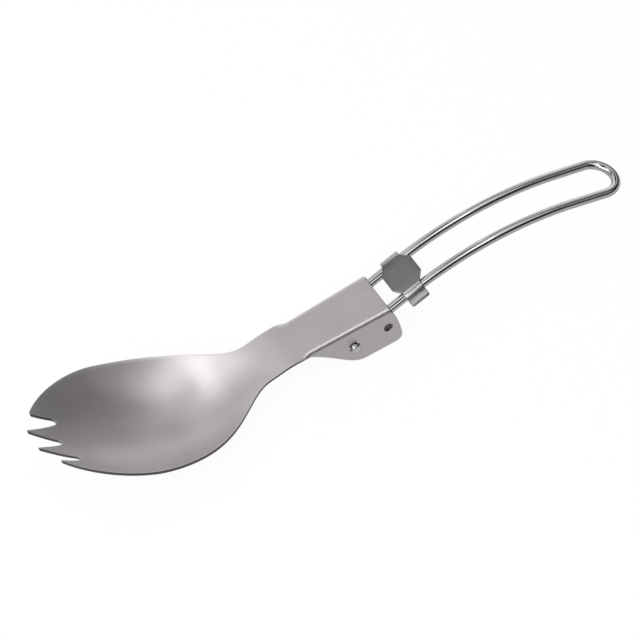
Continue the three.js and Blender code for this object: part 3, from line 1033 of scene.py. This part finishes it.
                # The rim is darker at its outermost line and keeps the wear and painted highlight where it
                # meets the faces.
                vert[cut] = math.sin(turn) ** 2
                vert[wear_and_sheen_layer] = rim_highlight_and_wear[key] * (1 - vert[cut])
        bmesh.ops.remove_doubles(bm, verts=under_verts + verts, dist=MERGE_DISTANCE)
        bmesh.ops.recalc_face_normals(bm, faces=bm.faces)

    def outward(self, vert: bmesh.types.BMVert) -> Vector:
        """The way out of the sheet at a vertex of its edge.

        Args:
            vert: the vertex.

        Returns:
            A vector of length 1 on a straight edge, and longer at a corner.
        """
        ways = []
        for edge in vert.link_edges:
            if edge.is_boundary:
                along = (edge.other_vert(vert).co - vert.co).normalized()
                way = along.cross(vert.normal).normalized()
                inside = edge.link_faces[0].calc_center_median() - (edge.verts[0].co + edge.verts[1].co) / 2
                ways.append(-way if way.dot(inside) > 0 else way)
        middle = (ways[0] + ways[1]).normalized()
        return middle * (1 / max(middle.dot(ways[0]), 1 / self.widest_corner))

    @property
    def hole_radius(self) -> float:
        """Radius of the hinge holes."""
        return self.wire_radius + self.pin_clearance

    @property
    def dent_ball(self) -> float:
        """Radius of the ball that leaves a dent of the wanted width and depth."""
        return (self.dent_radius**2 + self.dent_depth**2) / (2 * self.dent_depth)

    def dent_centre(self, side: int) -> Vector:
        """Where that ball stands.

        Args:
            side: 1 for the far side, -1 for the near one.

        Returns:
            Its centre.
        """
        face = self.channel_half(self.dent_reach)
        face += (self.plate_height - self.dent_height) * math.tan(self.flange_splay)
        return Vector((self.dent_reach, side * (face + self.dent_ball - self.dent_depth), self.dent_height))

    def shade_pits_and_burnish(self, bm: bmesh.types.BMesh) -> None:
        """Marks painted shade on the faces inside the hinge holes and the dents, and those that the press
        rubbed smooth.

        Args:
            bm: the head with its holes and dents. A face is in one of them if all its corners are.
        """
        pit_shade = bm.faces.layers.float.new(PIT_SHADE_ATTRIBUTE)
        burnished = bm.faces.layers.float.new(BURNISH_ATTRIBUTE)
        centres = [self.dent_centre(side) for side in (-1, 1)]
        hole_limit = self.hole_radius + self.cut_slack
        dent_limit = self.dent_ball + self.cut_slack
        bend_foot = self.plate_height - self.bend_drop - self.sheet / 2
        for face in bm.faces:
            corners = [vert.co for vert in face.verts]
            in_hole = all(math.hypot(place.x, place.z) < hole_limit for place in corners)
            furthest = [max((place - centre).length for place in corners) for centre in centres]
            in_dent = min(furthest) < dent_limit
            # Painted shade in the hinge holes and the dents.
            face[pit_shade] = 1.0 if in_hole else self.dent_shade * in_dent
            face[burnished] = float(in_dent)
            middle = face.calc_center_median()
            if middle.x > self.bend_start and middle.z > bend_foot:
                turned = face.normal.z
                in_bend = smoothstep(turned, *self.bend_foot_fade)
                in_bend *= 1 - smoothstep(turned, *self.bend_top_fade)
                face[burnished] = self.bend_burnish * in_bend

    def hinge_cutters(self) -> list[bpy.types.Object]:
        """The tools that cut through the channel.

        Returns:
            The drill for both hinge holes and the two punches for the dents, in millimetres.
        """
        drill = bmesh.new()
        bmesh.ops.create_cone(
            drill,
            cap_ends=True,
            segments=self.hole_sides,
            radius1=self.hole_radius,
            radius2=self.hole_radius,
            depth=self.bowl_width,
        )
        bmesh.ops.rotate(drill, verts=drill.verts, matrix=Matrix.Rotation(math.pi / 2, 3, "X"))
        made = [mesh_object("hinge_drill", drill)]
        for side in (-1, 1):
            punch = bmesh.new()
            bmesh.ops.create_uvsphere(
                punch, u_segments=self.dent_columns, v_segments=self.dent_rows, radius=self.dent_ball
            )
            bmesh.ops.translate(punch, verts=punch.verts, vec=self.dent_centre(side))
            made.append(mesh_object("dent_punch", punch))
        return made

    def build(self, frame: PinFrame) -> bpy.types.Object:
        """The finished head.

        Args:
            frame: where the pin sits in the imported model.

        Returns:
            The head as one object.
        """
        bm = self.upper_face()
        self.thicken(bm)
        blank = mesh_object("head_blank", bm)
        cutters = self.hinge_cutters()
        for tool in cutters:
            cut = blank.modifiers.new("cut", "BOOLEAN")
            cut.operation = "DIFFERENCE"
            cut.solver = "EXACT"
            cut.object = tool
        graph = bpy.context.evaluated_depsgraph_get()
        shaped = bmesh.new()
        shaped.from_object(blank, graph)
        for tool in [blank, *cutters]:
            bpy.data.objects.remove(tool)
        self.shade_pits_and_burnish(shaped)
        return finished_object("spork_head_sheet", shaped, frame.matrix())

    def dress(self, piece: bpy.types.Object, material: bpy.types.Material) -> None:
        """Puts the finish on the head and hangs it on its body.

        Args:
            piece: the finished head.
            material: its finish.
        """
        piece.data.materials.clear()
        piece.data.materials.append(material)
        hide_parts("spork_head")
        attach(piece, "head")


@dataclass
class WireHandle:
    """The handle: one wire from hinge pin to hinge pin, round a loop."""

    radius: float = WIRE_RADIUS
    leg_spacing: float = LEG_SPACING
    loop_width: float = 10.6
    rise: float = math.radians(16.6)
    straight: float = 17.6
    arch_radius: float = 79.3
    arch_bend: float = math.radians(35.2)
    tail: float = 9.6
    pin_bend: float = 1.6
    pin_proud: float = 1.15
    pin_wear: float = 0.6
    leg_clearance: float = LEG_CLEARANCE
    sheet: float = HEAD_SHEET
    dome_height: float = 0.4
    dome_rings: int = 4
    bend_steps: int = 10
    sides: int = 32
    step: float = 0.7

    @property
    def leg_length(self) -> float:
        """Length of a leg from the pin to the loop."""
        return self.straight + self.arch_radius * self.arch_bend + self.tail

    def leg(self, distance: float) -> tuple[Vector, float]:
        """Side view of a leg.

        Args:
            distance: how far along the wire from the pin.

        Returns:
            The place with Y left at 0, and the leg's slope there.
        """
        level = min(distance, self.straight)
        turned = clamp((distance - self.straight) / self.arch_radius, 0, self.arch_bend)
        last = max(distance - self.straight - self.arch_radius * self.arch_bend, 0)
        angle = self.rise - turned
        x = level * math.cos(self.rise) + self.arch_radius * (math.sin(self.rise) - math.sin(angle))
        z = level * math.sin(self.rise) + self.arch_radius * (math.cos(angle) - math.cos(self.rise))
        return Vector((x + last * math.cos(angle), 0, z + last * math.sin(angle))), angle

    def dome_turns(self) -> list[float]:
        """Angles of the rings on a pin's domed end, from the tip down to the full wire."""
        return [math.pi / 2 * (n + 1) / self.dome_rings for n in range(self.dome_rings)]

    def half_spacing(self, distance: float) -> float:
        """Half of the spacing between the legs at a distance from the pin."""
        return lerp(self.leg_spacing, self.loop_width, distance / self.leg_length) / 2

    def path(self) -> list[Vector]:
        """The wire's centre line.

        Returns:
            Its points, from the near pin's end round the loop to the far one's.
        """
        start = Vector((math.cos(self.rise), 0, math.sin(self.rise)))
        across = Vector((0, 1, 0))
        leg_y = self.half_spacing(self.pin_bend)
        tip_y = self.leg_spacing / 2 + self.radius + self.leg_clearance + self.sheet + self.pin_proud
        centre = start * self.pin_bend - across * (leg_y + self.pin_bend)
        shoulder_y = tip_y - self.dome_height
        near = [across * -(shoulder_y + self.dome_height * math.cos(turn)) for turn in self.dome_turns()]
        near.append(across * -lerp(shoulder_y, leg_y + self.pin_bend, 0.5))
        for n in range(self.bend_steps):
            turn = math.pi / 2 * n / self.bend_steps
            near.append(centre + (across * math.sin(turn) - start * math.cos(turn)) * self.pin_bend)
        count = round((self.leg_length - self.pin_bend) / self.step)
        for n in range(count):
            distance = lerp(self.pin_bend, self.leg_length, n / count)
            place, _ = self.leg(distance)
            near.append(place - across * self.half_spacing(distance))
        end, angle = self.leg(self.leg_length)
        ahead = Vector((math.cos(angle), 0, math.sin(angle)))
        loop_count = round(math.pi * self.loop_width / 2 / self.step)
        loop = []
        for n in range(loop_count + 1):
            turn = math.pi * n / loop_count
            loop.append(end + (ahead * math.sin(turn) - across * math.cos(turn)) * self.loop_width / 2)
        far = [Vector((p.x, -p.y, p.z)) for p in reversed(near)]
        return near + loop + far

    def build(self, frame: PinFrame) -> bpy.types.Object:
        """The finished wire: a ring carried along the path, turning as little as it can.

        Args:
            frame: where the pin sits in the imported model.

        Returns:
            The handle as one object.
        """
        points = self.path()
        bm = bmesh.new()
        heading = (points[1] - points[0]).normalized()
        upright = heading.to_track_quat("Z", "Y").to_matrix().to_4x4()
        bmesh.ops.create_circle(
            bm,
            segments=self.sides,
            radius=self.ring_radius(0, len(points)),
            matrix=Matrix.Translation(points[0]) @ upright,
            cap_ends=True,
        )
        ring = list(bm.edges)
        for index in range(1, len(points)):
            place, behind = points[index], points[index - 1]
            ahead = points[min(index + 1, len(points) - 1)]
            new_heading = ((ahead - place).normalized() + (place - behind).normalized()).normalized()
            turn = heading.rotation_difference(new_heading)
            verts, ring = grow(bm, ring)
            swell = self.ring_radius(index, len(points)) / self.ring_radius(index - 1, len(points))
            self.carry(bm, verts, behind, place, turn, swell)
            heading = new_heading
        bmesh.ops.contextual_create(bm, geom=ring)
        bmesh.ops.recalc_face_normals(bm, faces=bm.faces)
        self.mark_pins(bm)
        return finished_object("handle_wire", bm, frame.matrix())

    def mark_pins(self, bm: bmesh.types.BMesh) -> None:
        """Marks the wear on the two pins, which rub in their holes.

        Args:
            bm: the whole wire.
        """
        wear_and_sheen_layer = bm.verts.layers.float.new(WEAR_AND_SHEEN_ATTRIBUTE)
        pin_start = self.leg_spacing / 2 + self.pin_bend
        for vert in bm.verts:
            on_pin = abs(vert.co.y) > pin_start and abs(vert.co.x) < self.pin_bend
            vert[wear_and_sheen_layer] = self.pin_wear if on_pin else 0.0

    def ring_radius(self, index: int, count: int) -> float:
        """Radius of one ring of the wire, which narrows over the domed ends.

        Args:
            index: the ring's place in the path.
            count: how many rings the path has.

        Returns:
            The radius in millimetres.
        """
        from_end = min(index, count - 1 - index)
        if from_end >= self.dome_rings:
            return self.radius
        return self.radius * math.sin(self.dome_turns()[from_end])

    @staticmethod
    def carry(
        bm: bmesh.types.BMesh,
        verts: list[bmesh.types.BMVert],
        behind: Vector,
        place: Vector,
        turn: Quaternion,
        swell: float,
    ) -> None:
        """Moves a copied ring from one point of the path to the next."""
        move = Matrix.Translation(place) @ turn.to_matrix().to_4x4() @ Matrix.Scale(swell, 4)
        bmesh.ops.transform(bm, matrix=move @ Matrix.Translation(-behind), verts=verts)

    def dress(self, piece: bpy.types.Object, material: bpy.types.Material) -> None:
        """Puts the finish on the wire and hangs it on its body.

        Args:
            piece: the finished wire.
            material: its finish.
        """
        piece.data.materials.append(material)
        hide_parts("wire_handle")
        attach(piece, "handle")


@dataclass
class SlideLock:
    """The slide: one strip folded round both legs, with an octagonal plate on top and a seam on one side."""

    handle: WireHandle
    sheet: float = 0.5
    clearance: float = 0.3
    reach: float = 19.7
    fit_reach: float = 35.0
    roll_length: float = 5.2
    lobe_reach: float = 1.6
    loop_lobe_reach: float = 2.0
    lobe_width: float = 5.0
    wing_width: float = 1.6
    # Painted sheen: the rolls, the wings and the strip's underside are lighter than the top plate.
    wing_sheen: float = 0.6
    # Painted highlight on the rounded cut edges.
    edge_highlight: float = 0.3
    # Painted shade on the cut faces of the strip.
    rim_shade: float = 0.75
    seam: float = 0.06
    edge_round: float = 0.2
    edge_steps: int = 4
    corner_round: float = 0.5
    corner_steps: int = 4
    arc_steps: int = 9
    circle_profile: float = 0.5

    def profile(self) -> list[Vector]:
        """The strip's middle line, seen along the legs.

        Returns:
            Its points, from the upper wing round both legs to the lower wing.
        """
        leg_y = self.handle.half_spacing(self.fit_reach)
        inner = self.handle.radius + self.clearance
        middle = inner + self.sheet / 2
        wing_z = self.sheet / 2 + self.seam / 2
        wing_tip = -leg_y - inner - self.sheet - self.wing_width
        close = math.asin(wing_z / middle)

        def arc(y: float, start: float, end: float) -> list[Vector]:
            """The strip's bend round a leg, between two angles."""
            turns = (lerp(start, end, n / self.arc_steps) for n in range(self.arc_steps + 1))
            return [Vector((0, y + middle * math.cos(t), middle * math.sin(t))) for t in turns]

        upper = [Vector((0, wing_tip, wing_z)), *arc(-leg_y, math.pi - close, math.pi / 2)]
        plate = [Vector((0, share * self.lobe_width / 2, middle)) for share in (-1, 0, 1)]
        far = arc(leg_y, math.pi / 2, 0) + arc(leg_y, 0, -math.pi / 2)[1:]
        lower = [*arc(-leg_y, -math.pi / 2, close - math.pi), Vector((0, wing_tip, -wing_z))]
        return upper + plate + far + lower

    def build(self, frame: PinFrame) -> bpy.types.Object:
        """The finished slide, where it stands on the legs at rest.

        Args:
            frame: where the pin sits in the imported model.

        Returns:
            The slide as one object.
        """
        bm = bmesh.new()
        half = self.roll_length / 2
        line = [bm.verts.new(point - Vector((half, 0, 0))) for point in self.profile()]
        edges = [bm.edges.new(pair) for pair in zip(line, line[1:])]
        moved, _ = grow(bm, edges)
        bmesh.ops.translate(bm, verts=moved, vec=(self.roll_length, 0, 0))
        for end in (-1, 1):
            self.add_lobe(bm, end)
        self.round_corners(bm)
        bmesh.ops.recalc_face_normals(bm, faces=bm.faces)
        self.thicken(bm)
        place, angle = self.handle.leg(self.reach)
        stand = Matrix.Translation(place) @ Matrix.Rotation(-angle, 4, "Y")
        return finished_object("slide_band", bm, frame.matrix() @ stand)

    def thicken(self, bm: bmesh.types.BMesh) -> None:
        """Gives the strip its thickness on both sides of the middle line, and rounds its cut edges.

        Args:
            bm: the strip without thickness. Its faces get a painted sheen, a painted highlight on the rounded
                edges and painted shade on the cut faces.
        """
        moves = [(vert, vert.normal * vert.calc_shell_factor() * self.sheet / 2) for vert in bm.verts]
        for vert, move in moves:
            vert.co += move
        wear_and_sheen_layer = bm.faces.layers.float.new(WEAR_AND_SHEEN_ATTRIBUTE)
        cut = bm.faces.layers.float.new(DARKENED_EDGE_ATTRIBUTE)
        plate_half = self.handle.half_spacing(self.fit_reach)
        first = list(bm.faces)
        grown = bmesh.ops.solidify(bm, geom=first, thickness=self.sheet)["geom"]
        shell = {*first, *(item for item in grown if isinstance(item, bmesh.types.BMFace))}
        rim = [face for face in bm.faces if face not in shell]
        for face in shell:
            # Painted sheen everywhere but on the top plate.
            middle = face.calc_center_median()
            face[wear_and_sheen_layer] = 0.0 if abs(middle.y) < plate_half and middle.z > 0 else self.wing_sheen
        # Painted shade on the cut faces.
        for face in rim:
            face[cut] = self.rim_shade
        corners = [edge for edge in bm.edges if len({face in shell for face in edge.link_faces}) == 2]
        # Painted highlight on the rounded edges, which take no painted shade.
        for face in self.round_off(bm, corners, self.edge_round, self.edge_steps, "EDGES"):
            face[wear_and_sheen_layer] = self.edge_highlight
            face[cut] = 0.0
        bmesh.ops.recalc_face_normals(bm, faces=bm.faces)

    def round_corners(self, bm: bmesh.types.BMesh) -> None:
        """Rounds the outer corners of the plate's lobes and of the wings.

        Args:
            bm: the strip without thickness.
        """
        half = self.roll_length / 2
        wing_tip = min(vert.co.y for vert in bm.verts)
        corners = [
            vert
            for vert in bm.verts
            if (abs(vert.co.x) > half + TOUCH and abs(vert.co.y) > self.lobe_width / 4)
            or abs(vert.co.y - wing_tip) < TOUCH
        ]
        self.round_off(bm, corners, self.corner_round, self.corner_steps, "VERTICES")

    def round_off(
        self,
        bm: bmesh.types.BMesh,
        geom: list[bmesh.types.BMVert] | list[bmesh.types.BMEdge],
        radius: float,
        steps: int,
        affect: str,
    ) -> list[bmesh.types.BMFace]:
        """Rounds some edges or some corners.

        Args:
            bm: the strip.
            geom: the edges or vertices to round.
            radius: how far the rounding reaches.
            steps: how many faces it has across.
            affect: "EDGES" or "VERTICES".

        Returns:
            The faces of the rounding.
        """
        made = bmesh.ops.bevel(
            bm,
            geom=geom,
            offset=radius,
            offset_type="OFFSET",
            segments=steps,
            profile=self.circle_profile,
            affect=affect,
            material=-1,
        )
        return made["faces"]

    def add_lobe(self, bm: bmesh.types.BMesh, end: int) -> None:
        """Adds the plate's lobe beyond the rolls.

        Args:
            bm: the strip.
            end: 1 towards the loop, -1 towards the head.
        """
        half = self.roll_length / 2
        top = max(vert.co.z for vert in bm.verts)
        at_end = [v for v in bm.verts if abs(v.co.x - end * half) < TOUCH and abs(v.co.z - top) < TOUCH]
        row = sorted(at_end, key=lambda vert: vert.co.y)
        inside = [vert for vert in row if abs(vert.co.y) < self.lobe_width / 2 + TOUCH]
        moved, _ = grow(bm, [bm.edges.get(pair) for pair in zip(inside, inside[1:])])
        reach = self.loop_lobe_reach if end > 0 else self.lobe_reach
        bmesh.ops.translate(bm, verts=moved, vec=(end * reach, 0, 0))
        moved.sort(key=lambda vert: vert.co.y)
        for index in (0, -1):
            bmesh.ops.contextual_create(bm, geom=[row[index], inside[index], moved[index]])

    def dress(self, piece: bpy.types.Object, material: bpy.types.Material) -> None:
        """Puts the finish on the slide and hangs it on its body.

        Args:
            piece: the finished slide.
            material: its finish.
        """
        piece.data.materials.append(material)
        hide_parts("slide_lock")
        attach(piece, "lock")


@dataclass(frozen=True)
class Softbox:
    """One square area lamp that faces the spork.

    The azimuth runs from +X towards +Y and the elevation up from the floor, both in degrees. A brightness of
    1 is the white of the floor.
    """

    name: str
    azimuth: float
    elevation: float
    brightness: float
    size: float = 0.5

    def direction(self) -> Vector:
        """The way from the spork to the lamp.

        Returns:
            A unit vector.
        """
        flat = math.cos(math.radians(self.elevation))
        turn = math.radians(self.azimuth)
        return Vector((flat * math.cos(turn), flat * math.sin(turn), math.sin(math.radians(self.elevation))))

    def power(self) -> float:
        """The lamp's power in watts."""
        return math.pi * self.size * self.size * self.brightness


@dataclass
class Studio:
    """The floor, the lamps and the camera."""

    target: tuple[float, float, float] = (-0.0030396, 0.00185276, 0.01)
    azimuth: float = math.radians(-23.993529)
    elevation: float = math.radians(51.963615)
    roll: float = math.radians(-7.706494)
    distance: float = 0.873178
    focal_pixels: float = 3600.0
    frame_pixels: float = 640.0
    sensor: float = 36.0
    near_clip: float = 0.01
    far_clip: float = 50.0
    floor_half: float = 3.0
    floor_drop: float = 0.0001
    floor_tone: float = 0.9
    floor_glow: float = 0.94
    mirror_glow: float = 0.8
    world_light: float = 0.05
    lamp_distance: float = 0.95
    softboxes: tuple[Softbox, ...] = (
        Softbox("left", -180, 38, 3.6),
        Softbox("front_left", -150, 38, 4.0),
        Softbox("front", -120, 38, 1.65),
        Softbox("front_high", -90, 64, 1.9),
        Softbox("front_right_high", -45, 64, 1.4),
        Softbox("front_right", -30, 38, 0.35),
        Softbox("back_right", 30, 38, 0.7),
        Softbox("back_right_high", 45, 64, 0.9),
        Softbox("back_right_low", 60, 12, 1.7),
        Softbox("back_low", 90, 12, 1.1),
        Softbox("back", 90, 38, 0.95),
        Softbox("back_left_low", 120, 12, 1.0),
        Softbox("back_left_high", 135, 64, 1.45),
        Softbox("back_left", 150, 38, 1.0),
    )

    def add_camera(self) -> None:
        """The camera at the photograph's place, with the roll that its frame has."""
        lens = bpy.data.cameras.new("camera")
        lens.sensor_width = self.sensor
        lens.lens = self.sensor * self.focal_pixels / self.frame_pixels
        lens.clip_start = self.near_clip
        lens.clip_end = self.far_clip
        camera = bpy.data.objects.new("camera", lens)
        flat = math.cos(self.elevation)
        back = Vector(
            (math.sin(self.azimuth) * flat, -math.cos(self.azimuth) * flat, math.sin(self.elevation))
        )
        level = (-back).to_track_quat("-Z", "Y")
        camera.rotation_mode = "QUATERNION"
        camera.rotation_quaternion = level @ Quaternion((0, 0, 1), self.roll)
        camera.location = Vector(self.target) + back * self.distance
        bpy.context.scene.collection.objects.link(camera)
        bpy.context.scene.camera = camera

    def add_lamps(self) -> None:
        """The soft lamps, each turned towards the spork."""
        for box in self.softboxes:
            lamp = bpy.data.lights.new(box.name, "AREA")
            lamp.shape = "SQUARE"
            lamp.size = box.size
            lamp.energy = box.power()
            holder = bpy.data.objects.new(box.name, lamp)
            holder.location = Vector(self.target) + box.direction() * self.lamp_distance
            holder.visible_camera = False
            holder.rotation_mode = "QUATERNION"
            holder.rotation_quaternion = (-box.direction()).to_track_quat("-Z", "Y")
            bpy.context.scene.collection.objects.link(holder)

    def add_world(self) -> None:
        """A plain grey surround, white where the camera sees it."""
        world = bpy.data.worlds.new("surround")
        bpy.context.scene.world = world
        tree = empty_tree(world)
        path = tree.nodes.new("ShaderNodeLightPath")
        background = tree.nodes.new("ShaderNodeBackground")
        output = tree.nodes.new("ShaderNodeOutputWorld")
        level = WorkedMetal.maths(
            tree, "MULTIPLY_ADD", path.outputs["Is Camera Ray"], 1 - self.world_light, self.world_light
        )
        tree.links.new(level, background.inputs["Strength"])
        tree.links.new(background.outputs["Background"], output.inputs["Surface"])
        background.inputs["Color"].default_value = (1, 1, 1, 1)

    def add_floor(self) -> None:
        """A white floor that stays white in the picture and keeps a soft shadow."""
        bm = bmesh.new()
        bmesh.ops.create_grid(bm, x_segments=1, y_segments=1, size=self.floor_half)
        bmesh.ops.translate(bm, verts=bm.verts, vec=(0, 0, -self.floor_drop))
        floor = mesh_object("floor", bm)
        made = bpy.data.materials.new("white_floor")
        tree = empty_tree(made)
        paint = tree.nodes.new("ShaderNodeBsdfDiffuse")
        paint.inputs["Color"].default_value = (self.floor_tone, self.floor_tone, self.floor_tone, 1)
        glow = tree.nodes.new("ShaderNodeEmission")
        path = tree.nodes.new("ShaderNodeLightPath")
        camera = path.outputs["Is Camera Ray"]
        mirrored = WorkedMetal.maths(
            tree, "MAXIMUM", path.outputs["Is Glossy Ray"], path.outputs["Is Transmission Ray"]
        )
        seen = WorkedMetal.maths(tree, "MAXIMUM", camera, mirrored)
        share = WorkedMetal.maths(tree, "MULTIPLY", seen, self.floor_glow)
        strength = WorkedMetal.maths(tree, "MULTIPLY_ADD", camera, 1 - self.mirror_glow, self.mirror_glow)
        mixed = tree.nodes.new("ShaderNodeMixShader")
        output = tree.nodes.new("ShaderNodeOutputMaterial")
        link = tree.links.new
        link(strength, glow.inputs["Strength"])
        link(share, mixed.inputs["Fac"])
        link(paint.outputs["BSDF"], mixed.inputs[1])
        link(glow.outputs["Emission"], mixed.inputs[2])
        link(mixed.outputs["Shader"], output.inputs["Surface"])
        floor.data.materials.append(made)

    def build(self) -> None:
        """Sets up everything round the spork."""
        bpy.context.scene.view_settings.view_transform = "Standard"
        self.add_world()
        self.add_floor()
        self.add_lamps()
        self.add_camera()


def main() -> None:
    """Loads the frame, builds the pieces and the studio, and reports each piece."""
    logging.basicConfig(level=logging.INFO)
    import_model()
    frame = PinFrame()
    Studio().build()
    group = WorkedMetal().build()
    handle = WireHandle()
    plans = (
        (SporkHead(), BLASTED_TITANIUM),
        (handle, POLISHED_WIRE),
        (SlideLock(handle), SATIN_SHEET),
    )
    for plan, finish in plans:
        piece = plan.build(frame)
        plan.dress(piece, finish.material(group))
        LOG.info("%s: %d vertices, %s", piece.name, len(piece.data.vertices), finish.name)


if __name__ == "__main__":
    main()
